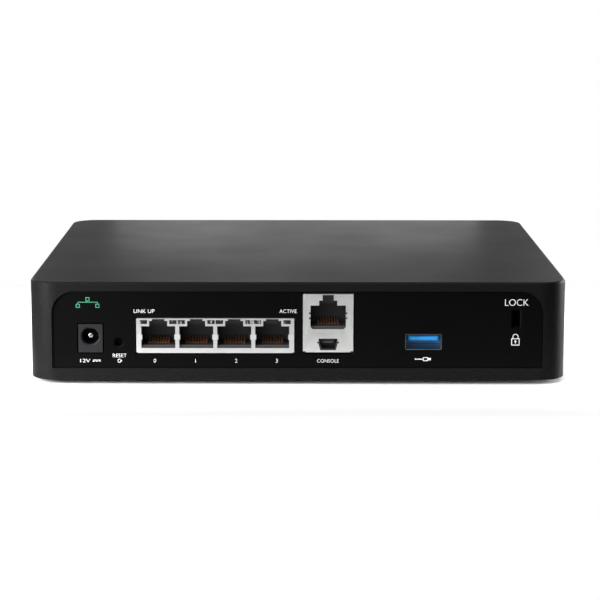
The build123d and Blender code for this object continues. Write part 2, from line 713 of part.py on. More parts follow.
def jack_wires(port, open_low):
    """Eight slanting contact wires standing off the floor of a jack."""
    y0, y1 = PORT_FACE_Y + WIRE_Y[0], PORT_FACE_Y + WIRE_Y[1]
    z0 = open_low + LIP_H + WIRE_LIFT + WIRE_T
    wires = []
    for i in range(WIRES):
        x = port + (i - (WIRES - 1) / 2) * WIRE_PITCH
        path = [(y0, z0), (y1, z0 + WIRE_RISE), (y1 + WIRE_TAIL, z0 + WIRE_RISE)]
        wires.append(side_strip(x, WIRE_W, path, WIRE_T))
    return wires


def make_lan_jack_contacts():
    return group(w for port in LAN_PORTS_X for w in jack_wires(port, LAN_OPEN_Z[0]))


def make_console_jack_shield():
    x, z = span(CON_X, CON_W), CON_Z
    y = (PORT_FACE_Y, PORT_FACE_Y + CON_DEPTH)
    can = block(x, y, z)
    can -= block((x[0] + SHEET, x[1] - SHEET), (y[0] + SHEET, y[1] - SHEET), (z[0] - OVER, z[1] - SHEET))
    front = (y[0] - OVER, y[0] + SHEET + SEAT_GAP)
    nose = (y[0] - OVER, PANEL_BACK_Y + CUT_GAP)
    can -= block((x[0] - OVER, x[1] + OVER), nose, (z[0] - OVER, CON_FACE_LOW))
    for side in (-1, 1):
        edge = CON_X + side * (CON_TAB_W + CON_W) / 4
        can -= block(span(edge, (CON_W - CON_TAB_W) / 2), nose, (z[0] - OVER, CON_FACE_LOW + CON_TAB_H))
    mouth = stepped_mouth(CON_X, CON_OPEN_W, CON_OPEN_Z, CON_KEY_Z, CON_KEY_TIP_W, CON_OPEN_CORNER)
    can -= prism(mouth, front)
    can -= prism(micro_outline(MICRO_GAP), front)
    can -= prism(micro_ears(MICRO_EAR_Z[1] - MICRO_EAR_Z[0]), front)
    seam_x = span(CON_X + CON_SEAM_X, CON_SEAM_W)
    can -= block(seam_x, (y[0] - OVER, y[0] + CON_SEAM_DEPTH), span(CON_SEAM_Z, CON_SEAM_H))
    for notch_z in CON_NOTCH_Z:
        can -= block(span(CON_X, CON_OPEN_W + 2 * CON_NOTCH_W), front, notch_z)
    return can


def make_console_jack_housing():
    inset = SHEET + SEAT_GAP
    x = span(CON_X, CON_W - 2 * inset)
    y = (PORT_FACE_Y + inset, PORT_FACE_Y + CON_DEPTH - inset)
    body = block(x, y, (CON_Z[0], CON_Z[1] - inset))
    nose = (y[0] - OVER, PANEL_BACK_Y + CUT_GAP)
    body -= block((x[0] - OVER, x[1] + OVER), nose, (CON_Z[0] - OVER, CON_FACE_LOW))
    open_z = (CON_OPEN_Z[0] + LIP_H, CON_OPEN_Z[1])
    key_z = (CON_KEY_Z[0], CON_KEY_Z[1] - 2 * SHEET)
    body -= jack_cavity(CON_X, CON_OPEN_W, open_z, key_z, CON_KEY_TIP_W)
    body -= lip_bevel(CON_X, CON_OPEN_W, CON_OPEN_Z[0])
    pocket = (y[0] - OVER, PORT_FACE_Y + MICRO_DEPTH + MICRO_GAP)
    body -= prism(micro_outline(MICRO_GAP), pocket)
    ear_pocket = (y[0] - OVER, PORT_FACE_Y + MICRO_EAR)
    body -= prism(micro_ears(MICRO_EAR_Z[1] - MICRO_EAR_Z[0]), ear_pocket)
    return body


def make_console_jack_contacts():
    return group(jack_wires(CON_X, CON_OPEN_Z[0]))


def make_micro_usb_shell():
    tube = prism(micro_outline(0), (PORT_FACE_Y, PORT_FACE_Y + MICRO_DEPTH))
    ear_y = (PORT_FACE_Y + MICRO_EAR_T, PORT_FACE_Y + MICRO_EAR - MICRO_EAR_T)
    tube += prism(micro_ears(MICRO_EAR_T), ear_y)
    return tube - prism(micro_outline(-SHEET), (PORT_FACE_Y - OVER, PORT_FACE_Y + MICRO_DEPTH + OVER))


def make_micro_usb_tongue():
    z = (MICRO_TONGUE_Z, MICRO_TONGUE_Z + MICRO_TONGUE[1])
    y = (PORT_FACE_Y + MICRO_TONGUE_Y[0], PORT_FACE_Y + MICRO_TONGUE_Y[1])
    return block(span(CON_X, MICRO_TONGUE[0]), y, z)


def make_micro_usb_contacts():
    strips = []
    y = (PORT_FACE_Y + MICRO_TONGUE_Y[0] + MICRO_WIRE_BACK, PORT_FACE_Y + MICRO_TONGUE_Y[1])
    z = (MICRO_TONGUE_Z - MICRO_WIRE[1], MICRO_TONGUE_Z)
    for i in range(MICRO_WIRES):
        x = CON_X + (i - (MICRO_WIRES - 1) / 2) * MICRO_WIRE_PITCH
        strips.append(block(span(x, MICRO_WIRE[0]), y, z))
    return group(strips)


def usb_front():
    return PORT_FACE_Y + USB_SINK


def make_usb_shell():
    w, h = USB_OUT
    y = (usb_front(), PORT_FACE_Y + USB_DEPTH)
    shell = prism(Pos(USB_X, USB_Z) * RectangleRounded(w, h, USB_R), y)
    inner = RectangleRounded(w - 2 * SHEET, h - 2 * SHEET, USB_R - SHEET)
    shell -= prism(Pos(USB_X, USB_Z) * inner, (y[0] - OVER, y[1] - SHEET))
    for side in (-1, 1):
        x = USB_X + side * (w - USB_FOOT_W) / 2
        foot_y = (PANEL_BACK_Y + USB_FOOT_BACK, y[1])
        shell += block(span(x, USB_FOOT_W), foot_y, (BOARD_Z, USB_Z - h / 2 + SHEET / 2))
    return shell


def usb_tongue_z():
    low = USB_Z + USB_TONGUE_RISE - USB_TONGUE[1] / 2
    return (low, low + USB_TONGUE[1])


def make_usb_tongue():
    back = PORT_FACE_Y + USB_DEPTH - SHEET
    tongue = block(span(USB_X, USB_TONGUE[0]), (usb_front() + USB_TONGUE_Y[0], back), usb_tongue_z())
    tongue = chamfer(tongue.faces().sort_by(Axis.Y)[0].edges(), USB_TONGUE_BEVEL)
    root_w = USB_OUT[0] - 2 * SHEET - 2 * SEAT_GAP
    root_h = USB_OUT[1] - 2 * SHEET - 2 * SEAT_GAP
    root = Pos(USB_X, USB_Z) * RectangleRounded(root_w, root_h, USB_R - SHEET)
    return tongue + prism(root, (PORT_FACE_Y + USB_TONGUE_Y[1], back))


def make_usb_contacts():
    z = usb_tongue_z()[0]
    y = (usb_front() + USB_WIRE_Y[0], usb_front() + USB_WIRE_Y[1])
    return group(block(span(USB_X + x, USB_WIRE[0]), y, (z - USB_WIRE[1], z)) for x in USB_WIRE_AT)


def make_cpu_chip():
    chip = standing(CPU_AT, CPU_SIZE, BOARD_Z)
    return chip + standing(CPU_AT, CPU_LID, BOARD_Z + CPU_SIZE[2])


def sink_floor():
    return BOARD_Z + CPU_SIZE[2] + CPU_LID[2] + PAD_SIZE[2]


def make_thermal_pad():
    return standing(CPU_AT, PAD_SIZE, BOARD_Z + CPU_SIZE[2] + CPU_LID[2])


def make_heat_sink():
    floor = sink_floor()
    w, d, base = SINK_BASE
    sink = standing(CPU_AT, SINK_BASE, floor)
    step = (w - SINK_FIN_T) / (SINK_FINS - 1)
    for i in range(SINK_FINS):
        x = CPU_AT[0] - w / 2 + SINK_FIN_T / 2 + i * step
        sink += block(span(x, SINK_FIN_T), span(CPU_AT[1], d), (floor + base / 2, SINK_TOP_Z))
    for at in sink_bolt_places():
        sink -= post(at, (floor + base, TOP_Z), SINK_CLEAR_R)
        sink -= post(at, (0, TOP_Z), SINK_BOLT_R + THREAD_GAP)
    return sink


def sink_bolt_head_z():
    return sink_floor() + SINK_BASE[2] + SINK_BOLT_LIFT


def make_heat_sink_screws():
    screws = []
    head = sink_bolt_head_z()
    for at in sink_bolt_places():
        screw = post(at, (head, head + SINK_BOLT_HEAD_H), SINK_BOLT_HEAD_R)
        screw += post(at, (BOARD_LOW_Z - SINK_BOLT_TIP, head), SINK_BOLT_R)
        screws.append(screw - cross_recess(at, head + SINK_BOLT_HEAD_H, 1))
    return group(screws)


def make_heat_sink_springs():
    low = sink_floor() + SINK_BASE[2] + SPRING_WIRE_R
    high = sink_bolt_head_z() - SPRING_WIRE_R
    springs = []
    for at in sink_bolt_places():
        path = Helix((high - low) / SPRING_TURNS, high - low, SPRING_R)
        section = Plane(path @ 0, z_dir=path % 0) * Circle(SPRING_WIRE_R)
        springs.append(Pos(at[0], at[1], low) * sweep(section, path=path))
    return group(springs)


def make_board_blocks(places, size):
    return group(standing(at, size, BOARD_Z) for at in places)


def make_bulk_capacitors():
    cans = []
    for at in CAPACITOR_AT:
        can = post(at, (BOARD_Z, BOARD_Z + CAPACITOR_H), CAPACITOR_R)
        ring_z = (BOARD_Z + CAPACITOR_GROOVE_Z, BOARD_Z + CAPACITOR_GROOVE_Z + CAPACITOR_GROOVE)
        ring = post(at, ring_z, CAPACITOR_R + OVER) - post(at, ring_z, CAPACITOR_R - CAPACITOR_GROOVE)
        cans.append(can - ring)
    return group(cans)


def make_battery_holder():
    ring = post(CELL_AT, (BOARD_Z, BOARD_Z + HOLDER_H), HOLDER_R)
    ring -= post(CELL_AT, (BOARD_Z + HOLDER_FLOOR, TOP_Z), CELL_R + CELL_GAP)
    x, y = CELL_AT
    gate = (y - HOLDER_R - OVER, y - CELL_R / 2)
    return ring - block(span(x, CELL_R), gate, (BOARD_Z + HOLDER_FLOOR, TOP_Z))


def make_coin_cell():
    low = BOARD_Z + HOLDER_FLOOR
    cell = post(CELL_AT, (low, low + CELL_H), CELL_R)
    return chamfer(cell.edges().group_by(Axis.Z)[0], CELL_EDGE)


def make_battery_clip():
    x, y = CELL_AT
    z = BOARD_Z + HOLDER_H
    strap = block(span(x, CLIP_W), (y - CELL_R / 2, y + HOLDER_R + CLIP_T), (z, z + CLIP_T))
    leg_y = (y + HOLDER_R + CELL_GAP, y + HOLDER_R + CELL_GAP + CLIP_T)
    return strap + block(span(x, CLIP_W), leg_y, (BOARD_Z, z + CLIP_T))


def make_chip_parts():
    chips = []
    for x, y, count, pitch in CHIP_PART_ROWS:
        chips += [standing((x + i * pitch, y), CHIP_PART_SIZE, BOARD_Z) for i in range(count)]
    return group(chips)


def main():
    os.makedirs("parts", exist_ok=True)
    save("top_cover", make_top_cover())
    save("base_plate", make_base_plate())
    save("port_panel", make_port_panel())
    save("rubber_feet", make_rubber_feet())
    save("case_screws", make_case_screws())
    save("lock_bracket", make_lock_bracket())
    save("light_pipes", make_light_pipes())
    save("status_leds", make_status_leds())
    save("main_board", make_main_board())
    save("board_screws", make_board_screws())
    save("dc_jack_housing", make_dc_jack_housing())
    save("dc_jack_pin", make_dc_jack_pin())
    save("dc_jack_contact", make_dc_jack_contact())
    save("reset_switch_body", make_reset_switch_body())
    save("reset_plunger", make_reset_plunger())
    save("reset_dome", make_reset_dome())
    save("lan_jack_shield", make_lan_jack_shield())
    save("lan_jack_housing", make_lan_jack_housing())
    save("lan_jack_contacts", make_lan_jack_contacts())
    save("lan_led_lenses", make_lan_led_lenses())
    save("console_jack_shield", make_console_jack_shield())
    save("console_jack_housing", make_console_jack_housing())
    save("console_jack_contacts", make_console_jack_contacts())
    save("micro_usb_shell", make_micro_usb_shell())
    save("micro_usb_tongue", make_micro_usb_tongue())
    save("micro_usb_contacts", make_micro_usb_contacts())
    save("usb_shell", make_usb_shell())
    save("usb_tongue", make_usb_tongue())
    save("usb_contacts", make_usb_contacts())
    save("cpu_chip", make_cpu_chip())
    save("thermal_pad", make_thermal_pad())
    save("heat_sink", make_heat_sink())
    save("heat_sink_screws", make_heat_sink_screws())
    save("heat_sink_springs", make_heat_sink_springs())
    save("memory_chips", make_board_blocks(MEMORY_AT, MEMORY_SIZE))
    save("flash_chip", make_board_blocks([FLASH_AT], FLASH_SIZE))
    save("switch_chip", make_board_blocks([SWITCH_AT], SWITCH_SIZE))
    save("lan_transformers", make_board_blocks(MAGNETICS_AT, MAGNETICS_SIZE))
    save("power_inductors", make_board_blocks(INDUCTOR_AT, INDUCTOR_SIZE))
    save("bulk_capacitors", make_bulk_capacitors())
    save("power_regulators", make_board_blocks(REGULATOR_AT, REGULATOR_SIZE))
    save("clock_crystal", make_board_blocks([CRYSTAL_AT], CRYSTAL_SIZE))
    save("console_chip", make_board_blocks([CONSOLE_CHIP_AT], CONSOLE_CHIP_SIZE))
    save("usb_power_switch", make_board_blocks([USB_SWITCH_AT], USB_SWITCH_SIZE))
    save("battery_holder", make_battery_holder())
    save("coin_cell", make_coin_cell())
    save("battery_clip", make_battery_clip())
    save("chip_parts", make_chip_parts())


main()
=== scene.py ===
import json
import math

import bmesh
import bpy
from mathutils import Matrix, Vector


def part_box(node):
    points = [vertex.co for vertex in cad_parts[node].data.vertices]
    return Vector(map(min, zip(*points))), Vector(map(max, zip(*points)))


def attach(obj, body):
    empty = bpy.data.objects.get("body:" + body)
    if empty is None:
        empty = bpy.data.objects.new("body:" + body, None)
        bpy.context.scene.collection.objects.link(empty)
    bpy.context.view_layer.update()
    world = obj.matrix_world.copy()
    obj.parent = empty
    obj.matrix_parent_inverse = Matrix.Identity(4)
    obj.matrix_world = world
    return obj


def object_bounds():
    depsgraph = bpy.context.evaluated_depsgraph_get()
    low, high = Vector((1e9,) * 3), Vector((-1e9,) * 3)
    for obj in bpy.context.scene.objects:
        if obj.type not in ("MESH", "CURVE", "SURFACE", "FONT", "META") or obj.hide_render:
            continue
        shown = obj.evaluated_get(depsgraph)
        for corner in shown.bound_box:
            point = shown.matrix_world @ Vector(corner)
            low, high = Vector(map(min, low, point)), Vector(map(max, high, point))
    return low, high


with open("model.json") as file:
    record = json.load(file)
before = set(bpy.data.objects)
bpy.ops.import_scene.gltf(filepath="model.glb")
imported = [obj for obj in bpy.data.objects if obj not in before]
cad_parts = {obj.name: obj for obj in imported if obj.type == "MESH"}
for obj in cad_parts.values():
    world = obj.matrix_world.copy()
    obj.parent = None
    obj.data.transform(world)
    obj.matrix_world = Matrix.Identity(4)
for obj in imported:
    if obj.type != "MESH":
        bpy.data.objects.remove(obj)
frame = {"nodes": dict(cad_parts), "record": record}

cad_low, cad_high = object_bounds()

MM = 0.001
BODY = "chassis"

# ---- camera, matched to the picture's view of the port side ----
CAMERA_AT = (-3.2 * MM, -855.7 * MM, 162.4 * MM)
CAMERA_PITCH = 0.1686
CAMERA_YAW = 0.0050
CAMERA_ROLL = 0.0017
FOCAL_PER_WIDTH = 3.54417
SENSOR = 36.0
CLIP_NEAR = 0.05
CLIP_FAR = 50.0

# ---- print on the panel: places and sizes in mm on its face ----
PANEL_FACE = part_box("port_panel")[0].y
INK_LIFT = 0.012 * MM
INK_THICK = 0.010 * MM
INK_Y = PANEL_FACE - INK_LIFT
CAP_HEIGHT = 0.70
INK_THIN = 0.015
DIGITS_X = -30.35
DIGIT_PITCH = 14.97
DIGIT_Z = 8.05
DIGIT_HEIGHT = 1.45
PORTS = 4
NETWORK_AT = (-77.3, 28.5)
DC_AT = (-74.2, 8.45)
RESET_AT = (-65.8, 8.75)
PADLOCK_AT = (80.0, 14.6)
PLUG_AT = (46.2, 8.9)
# name, words, centre, foot, height of a capital, width
LEGENDS = [
    ("legend_volts", "12V", -78.7, 8.1, 1.35, 3.6),
    ("legend_reset", "RESET", -65.8, 10.05, 1.35, 5.1),
    ("legend_link", "LINK UP", -56.65, 26.6, 1.4, 7.6),
    ("legend_active", "ACTIVE", -3.7, 26.6, 1.4, 6.3),
    ("legend_console", "CONSOLE", 11.0, 8.1, 1.3, 8.0),
    ("legend_lock", "LOCK", 80.15, 29.4, 2.5, 8.6),
]

# ---- latch stop inside the jacks, painted paler as painted light ----
STOP_DEPTH = 5.75 * MM
STOP_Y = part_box("lan_jack_housing")[0].y + STOP_DEPTH
STOP_BAND = 0.1 * MM
# colour of the painted light on the latch stop
STOP_PAINTED_LIGHT = (0.13, 0.13, 0.135)

# ---- how sharp an edge has to be to look worn or cut, and where nickel edges take painted shade ----
PLASTIC_EDGE = (0.56, 0.66)
METAL_EDGE = (0.53, 0.64)

# ---- studio, in metres ----
BACKDROP_R = 8.0
# for each axis: where the fall starts and ends, strength before and after it
WORLD_FALL = {"Y": (-0.5, 0.25, 1.7, 0.28), "X": (-0.45, 0.30, 2.0, 0.03)}
FLOOR_SIZE = 6.0
TABLE_EDGE = (0.01, 0.06)
TABLE_FAR = (0.12, 0.12, 0.12)
# floor glow beside the object: painted light, brighter on the left, standing in for light bounced off
# the floor
GLOW_NEAR = 1.0
GLOW_NEAR_END = 0.015
GLOW_ACROSS = (-0.10, 0.10, 1.0, 0.30)
SWEEP_Z = 0.02 * MM
SWEEP_START = 0.010
SWEEP_END = 0.055
# name, place, aim, size, watts, seen by the camera
LIGHTS = [
    ("key_left", (-0.75, -0.45, 0.40), (0, -0.05, 0.02), (0.35, 0.7), 4.0, True),
    ("low_left", (-0.190, -0.170, 0.05), (-0.08, -0.09, 0.02), (0.05, 0.05), 0.53, False),
    ("back_wide", (0.0, 0.30, 0.080), (0, 0.03, 0.04), (0.50, 0.03), 0.050, False),
    ("back_middle", (0.0, 0.28, 0.080), (0, 0.03, 0.04), (0.16, 0.03), 0.025, False),
    ("back_edge", (0.0, 0.135, 0.053), (0, 0.03, 0.04), (0.17, 0.02), 0.018, False),
    ("back_left", (-0.30, 0.40, 0.12), (-0.09, -0.06, 0.02), (0.20, 0.20), 0.5, False),
    ("back_right", (0.30, 0.40, 0.12), (0.09, -0.06, 0.02), (0.20, 0.20), 1.5, False),
    ("right", (0.55, 0.20, 0.10), (0.09, -0.06, 0.02), (0.15, 0.15), 6.0, False),
    ("overhead", (0.0, 0.0, 2.2), (0, 0, 0), (2.5, 2.5), 42.0, True),
]

scene = bpy.context.scene


# ------------------------------------------------------------------ materials
class Nodes:
    """Small helper round one material's node tree."""

    def __init__(self, name):
        self.material = bpy.data.materials.new(name)
        self.material.use_nodes = True
        self.tree = self.material.node_tree
        self.shader = self.tree.nodes["Principled BSDF"]
        self.place = self.tree.nodes.new("ShaderNodeTexCoord").outputs["Object"]

    def node(self, kind, **values):
        made = self.tree.nodes.new(kind)
        for key, value in values.items():
            setattr(made, key, value)
        return made

    def link(self, a, b):
        self.tree.links.new(a, b)

    def axis(self, name):
        split = self.node("ShaderNodeSeparateXYZ")
        self.link(self.place, split.inputs["Vector"])
        return split.outputs[name]

    def calc(self, operation, *values):
        tool = self.node("ShaderNodeMath", operation=operation)
        for value, socket in zip(values, tool.inputs):
            if isinstance(value, bpy.types.NodeSocket):
                self.link(value, socket)
            else:
                socket.default_value = value
        return tool.outputs["Value"]

    def noise(self, scale, detail=3.0, rough=0.55, stretch=None):
        source = self.place
        if stretch:
            mapping = self.node("ShaderNodeMapping")
            mapping.inputs["Scale"].default_value = stretch
            self.link(source, mapping.inputs["Vector"])
            source = mapping.outputs["Vector"]
        tex = self.node("ShaderNodeTexNoise")
        tex.inputs["Scale"].default_value = scale
        tex.inputs["Detail"].default_value = detail
        tex.inputs["Roughness"].default_value = rough
        self.link(source, tex.inputs["Vector"])
        return tex.outputs["Fac"]

    def cells(self, scale):
        tex = self.node("ShaderNodeTexVoronoi")
        tex.inputs["Scale"].default_value = scale
        self.link(self.place, tex.inputs["Vector"])
        return tex.outputs["Distance"]

    def spread(self, value, low, high, start=0.3, end=0.7):
        tool = self.node("ShaderNodeMapRange")
        tool.inputs["From Min"].default_value = start
        tool.inputs["From Max"].default_value = end
        tool.inputs["To Min"].default_value = low
        tool.inputs["To Max"].default_value = high
        self.link(value, tool.inputs["Value"])
        return tool.outputs["Result"]

    def blend(self, factor, a, b):
        mix = self.node("ShaderNodeMix", data_type="RGBA")
        self.link(factor, mix.inputs["Factor"])
        for value, socket in ((a, mix.inputs["A"]), (b, mix.inputs["B"])):
            if isinstance(value, bpy.types.NodeSocket):
                self.link(value, socket)
            else:
                socket.default_value = (*value, 1.0)
        return mix.outputs["Result"]

    def bump(self, height, distance, strength=1.0, under=None):
        tool = self.node("ShaderNodeBump")
        tool.inputs["Distance"].default_value = distance
        tool.inputs["Strength"].default_value = strength
        self.link(height, tool.inputs["Height"])
        if under is not None:
            self.link(under, tool.inputs["Normal"])
        return tool.outputs["Normal"]

    def edges(self, start, end):
        """0 on flats, 1 on sharp outer edges."""
        point = self.node("ShaderNodeNewGeometry").outputs["Pointiness"]
        return self.spread(point, 0.0, 1.0, start, end)

    def set(self, **values):
        for key, value in values.items():
            socket = self.shader.inputs[key.replace("_", " ")]
            if isinstance(value, bpy.types.NodeSocket):
                self.link(value, socket)
            elif isinstance(value, tuple) and len(value) == 3:
                socket.default_value = (*value, 1.0)
            else:
                socket.default_value = value
        return self.material


def moulded_plastic(name, colour, rough, grain, depth, level, lift=1.35, wear=1.4, painted_stop_light=False):
    """Moulded plastic: grain of that size in mm, faint cloudiness, edges rubbed a little paler.

    The stop flag paints the stop at the back of a jack's latch notch paler: painted light on a wall
    that lies in shade.
    """
    n = Nodes(name)
    fine = n.noise(1.0 / (grain * MM), 2.0)
    cloud = n.noise(18.0, 4.0)
    pale = tuple(c * lift for c in colour)
    rubbed = tuple(c * wear for c in colour)
    base = n.blend(n.spread(fine, 0.0, 1.0, 0.35, 0.65), colour, pale)
    base = n.blend(n.edges(*PLASTIC_EDGE), base, rubbed)
    # paint the latch stop paler: painted light where the notch wall lies in shade
    if painted_stop_light:
        stop_light_mask = n.calc("COMPARE", n.axis("Y"), STOP_Y, STOP_BAND)
        base = n.blend(stop_light_mask, base, STOP_PAINTED_LIGHT)
    n.set(Base_Color=base, Roughness=n.spread(cloud, rough - 0.04, rough + 0.04))
    n.set(Normal=n.bump(fine, depth * MM))
    n.shader.inputs["Specular IOR Level"].default_value = level
    return n.material


def sheet_metal(name, colour, rough, stretch, grain, depth, metallic=1.0, edge_cut_and_shade=1.1):
    """Plated or brushed sheet: fine rolled lines, cloudy plating, cut edges brighter, and with a
    factor below 1 darker as painted shade.
    """
    n = Nodes(name)
    lines = n.noise(1.0 / (grain * MM), 3.0, 0.6, stretch)
    cloud = n.noise(140.0, 3.0)
    dull = tuple(c * 0.86 for c in colour)
    base = n.blend(n.spread(cloud, 0.0, 1.0), dull, colour)
    # sharp edges lighter as bare metal; a factor below 1 darkens them as painted shade
    base = n.blend(n.edges(*METAL_EDGE), base, tuple(min(1.0, c * edge_cut_and_shade) for c in colour))
    n.set(Base_Color=base, Metallic=metallic)
    n.set(Roughness=n.spread(lines, rough - 0.06, rough + 0.08))
    n.set(Normal=n.bump(lines, depth * MM))
    return n.material


def laminate():
    """Board with a solder mask: faint weave, tracks under the mask."""
    n = Nodes("board_laminate")
    weave = n.noise(1400.0, 2.0)
    tracks = n.cells(260.0)
    dark, light = (0.004, 0.050, 0.022), (0.012, 0.105, 0.045)
    raised = n.spread(tracks, 1.0, 0.0, 0.30, 0.42)
    base = n.blend(raised, dark, light)
    n.set(Base_Color=base, Roughness=n.spread(weave, 0.3, 0.42))
    n.set(Normal=n.bump(raised, 0.03 * MM))
    return n.material


def clear_plastic():
    """Clear light pipe with faint flow marks."""
    n = Nodes("clear_plastic")
    flow = n.noise(300.0, 3.0)
    n.set(Base_Color=n.blend(flow, (0.80, 0.84, 0.84), (0.93, 0.95, 0.95)))
    n.set(Roughness=n.spread(flow, 0.10, 0.22), Normal=n.bump(flow, 0.02 * MM))
    n.set(IOR=1.49)
    n.shader.inputs["Transmission Weight"].default_value = 0.85
    return n.material


def lens_plastic():
    """Smoked, frosted indicator window, with pale streaks painted in as painted highlights."""
    n = Nodes("lens_plastic")
    frost = n.noise(2600.0, 3.0)
    streak_highlight = n.noise(1500.0, 2.0, 0.5, (1.0, 1.0, 0.3))
    # pale streaks in the base colour: painted highlights on the smoked lens
    base = n.blend(n.spread(streak_highlight, 0.0, 1.0, 0.57, 0.63), (0.005, 0.005, 0.005), (0.17, 0.175, 0.165))
    n.set(Base_Color=base, Roughness=n.spread(frost, 0.22, 0.40), Normal=n.bump(frost, 0.02 * MM))
    n.shader.inputs["Specular IOR Level"].default_value = 0.3
    return n.material


def ink(name, colour):
    """Screen print: slightly uneven, slightly worn."""
    n = Nodes(name)
    speck = n.noise(3200.0, 3.0)
    thin = tuple(c * 0.78 for c in colour)
    n.set(Base_Color=n.blend(n.spread(speck, 0.0, 1.0), thin, colour))
    n.set(Roughness=n.spread(speck, 0.45, 0.62), Normal=n.bump(speck, 0.004 * MM))
    return n.material


MATERIALS = {
    "case_plastic": moulded_plastic(
        "case_plastic", (0.0038, 0.0038, 0.0040),
        rough=0.46, grain=0.62, depth=0.05, level=0.035, lift=1.9,
    ),
    "panel_plastic": moulded_plastic(
        "panel_plastic", (0.0013, 0.0013, 0.0014),
        rough=0.36, grain=0.30, depth=0.006, level=0.032,
    ),
    "rubber": moulded_plastic(
        "rubber", (0.010, 0.010, 0.010),
        rough=0.78, grain=0.25, depth=0.03, level=0.3,
    ),
    # socket plastic with painted light on the latch stops of its jacks
    "socket_plastic": moulded_plastic(
        "socket_plastic", (0.0065, 0.0065, 0.0075),
        rough=0.50, grain=0.30, depth=0.012, level=0.15, painted_stop_light=True,
    ),
    "jack_plastic": moulded_plastic(
        "jack_plastic", (0.016, 0.016, 0.017),
        rough=0.48, grain=0.30, depth=0.012, level=0.35,
    ),
    "button_plastic": moulded_plastic(
        "button_plastic", (0.004, 0.004, 0.004),
        rough=0.50, grain=0.25, depth=0.01, level=0.10,
    ),
    "chip_epoxy": moulded_plastic(
        "chip_epoxy", (0.016, 0.016, 0.017),
        rough=0.60, grain=0.12, depth=0.010, level=0.4,
    ),
    "pad_gum": moulded_plastic(
        "pad_gum", (0.30, 0.34, 0.44),
        rough=0.65, grain=0.5, depth=0.02, level=0.4, lift=1.1, wear=1.1,
    ),
    "chip_ceramic": moulded_plastic(
        "chip_ceramic", (0.36, 0.27, 0.17),
        rough=0.5, grain=0.2, depth=0.006, level=0.5, lift=1.2, wear=1.3,
    ),
    "usb_blue": moulded_plastic(
        "usb_blue", (0.010, 0.20, 0.50),
        rough=0.26, grain=0.30, depth=0.006, level=0.5, lift=1.2, wear=1.4,
    ),
    "board_laminate": laminate(),
    "clear_plastic": clear_plastic(),
    "lens_plastic": lens_plastic(),
    "shield_metal": sheet_metal(
        "shield_metal", (0.59, 0.59, 0.585),
        rough=0.34, stretch=(0.12, 1.0, 1.0), grain=0.12, depth=0.006, metallic=0.9,
    ),
    # nickel edges darkened to 0.25: painted shade on the plug shells' front rims
    "nickel_plate": sheet_metal(
        "nickel_plate", (0.50, 0.50, 0.50),
        rough=0.14, stretch=(1.0, 0.2, 1.0), grain=0.3, depth=0.001, metallic=1.0, edge_cut_and_shade=0.25,
    ),
    "bracket_steel": sheet_metal(
        "bracket_steel", (0.50, 0.51, 0.52),
        rough=0.40, stretch=(0.2, 1.0, 1.0), grain=0.2, depth=0.006,
    ),
    "screw_steel": sheet_metal(
        "screw_steel", (0.32, 0.33, 0.35),
        rough=0.38, stretch=(1.0, 1.0, 1.0), grain=0.2, depth=0.006,
    ),
    "cell_steel": sheet_metal(
        "cell_steel", (0.62, 0.62, 0.61),
        rough=0.30, stretch=(1.0, 0.15, 1.0), grain=0.2, depth=0.004,
    ),
    "aluminium": sheet_metal(
        "aluminium", (0.58, 0.59, 0.61),
        rough=0.40, stretch=(1.0, 0.1, 1.0), grain=0.2, depth=0.006,
    ),
    "contact_gold": sheet_metal(
        "contact_gold", (0.22, 0.095, 0.045),
        rough=0.42, stretch=(1.0, 0.2, 1.0), grain=0.1, depth=0.002, metallic=0.5,
    ),
}

for part in frame["record"]["subparts"]:
    node = frame["nodes"][part["node"]]
    node.data.materials.clear()
    node.data.materials.append(MATERIALS[part["material_slot"]])


# ------------------------------------------------------------------ printed legends
WHITE_INK = ink("white_ink", (0.80, 0.80, 0.80))
GREEN_INK = ink("green_ink", (0.012, 0.15, 0.075))


def settle(obj, material):
    obj.data.materials.append(material)
    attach(obj, BODY)
    return obj


def lettering(name, words, x, z, height, width=None):
    """Generic words or digits printed on the panel, centred on x, standing on z."""
    curve = bpy.data.curves.new(name, "FONT")
    curve.body = words
    curve.align_x = "CENTER"
    curve.align_y = "BOTTOM_BASELINE"
    curve.size = height * MM / CAP_HEIGHT
    curve.offset = -INK_THIN * curve.size
    curve.extrude = INK_THICK / 2
    obj = bpy.data.objects.new(name, curve)
    scene.collection.objects.link(obj)
    bpy.context.view_layer.update()
    if width:
        obj.scale.x = width * MM / obj.dimensions.x
    obj.rotation_euler = (math.pi / 2, 0, 0)
    obj.location = (x * MM, INK_Y, z * MM)
    return settle(obj, WHITE_INK)


def strokes(name, shapes, material):
    """Flat printed shapes, each a list of (x, z) corners in mm."""
    mesh = bpy.data.meshes.new(name)
    made = bmesh.new()
    for ring in shapes:
        front = [made.verts.new((x * MM, INK_Y - INK_THICK / 2, z * MM)) for x, z in ring]
        back = [made.verts.new((x * MM, INK_Y + INK_THICK / 2, z * MM)) for x, z in ring]
        made.faces.new(front)
        made.faces.new(list(reversed(back)))
        count = len(ring)
        for i in range(count):
            j = (i + 1) % count
            made.faces.new((front[j], front[i], back[i], back[j]))
    bmesh.ops.recalc_face_normals(made, faces=made.faces)
    made.to_mesh(mesh)
    made.free()
    obj = bpy.data.objects.new(name, mesh)
    scene.collection.objects.link(obj)
    return settle(obj, material)


def bar(x0, z0, x1, z1):
    return [(x0, z0), (x1, z0), (x1, z1), (x0, z1)]


def frame_bars(x0, z0, x1, z1, t):
    """Rectangle outline made of four bars."""
    return [
        bar(x0, z0, x1, z0 + t),
        bar(x0, z1 - t, x1, z1),
        bar(x0, z0 + t, x0 + t, z1 - t),
        bar(x1 - t, z0 + t, x1, z1 - t),
    ]


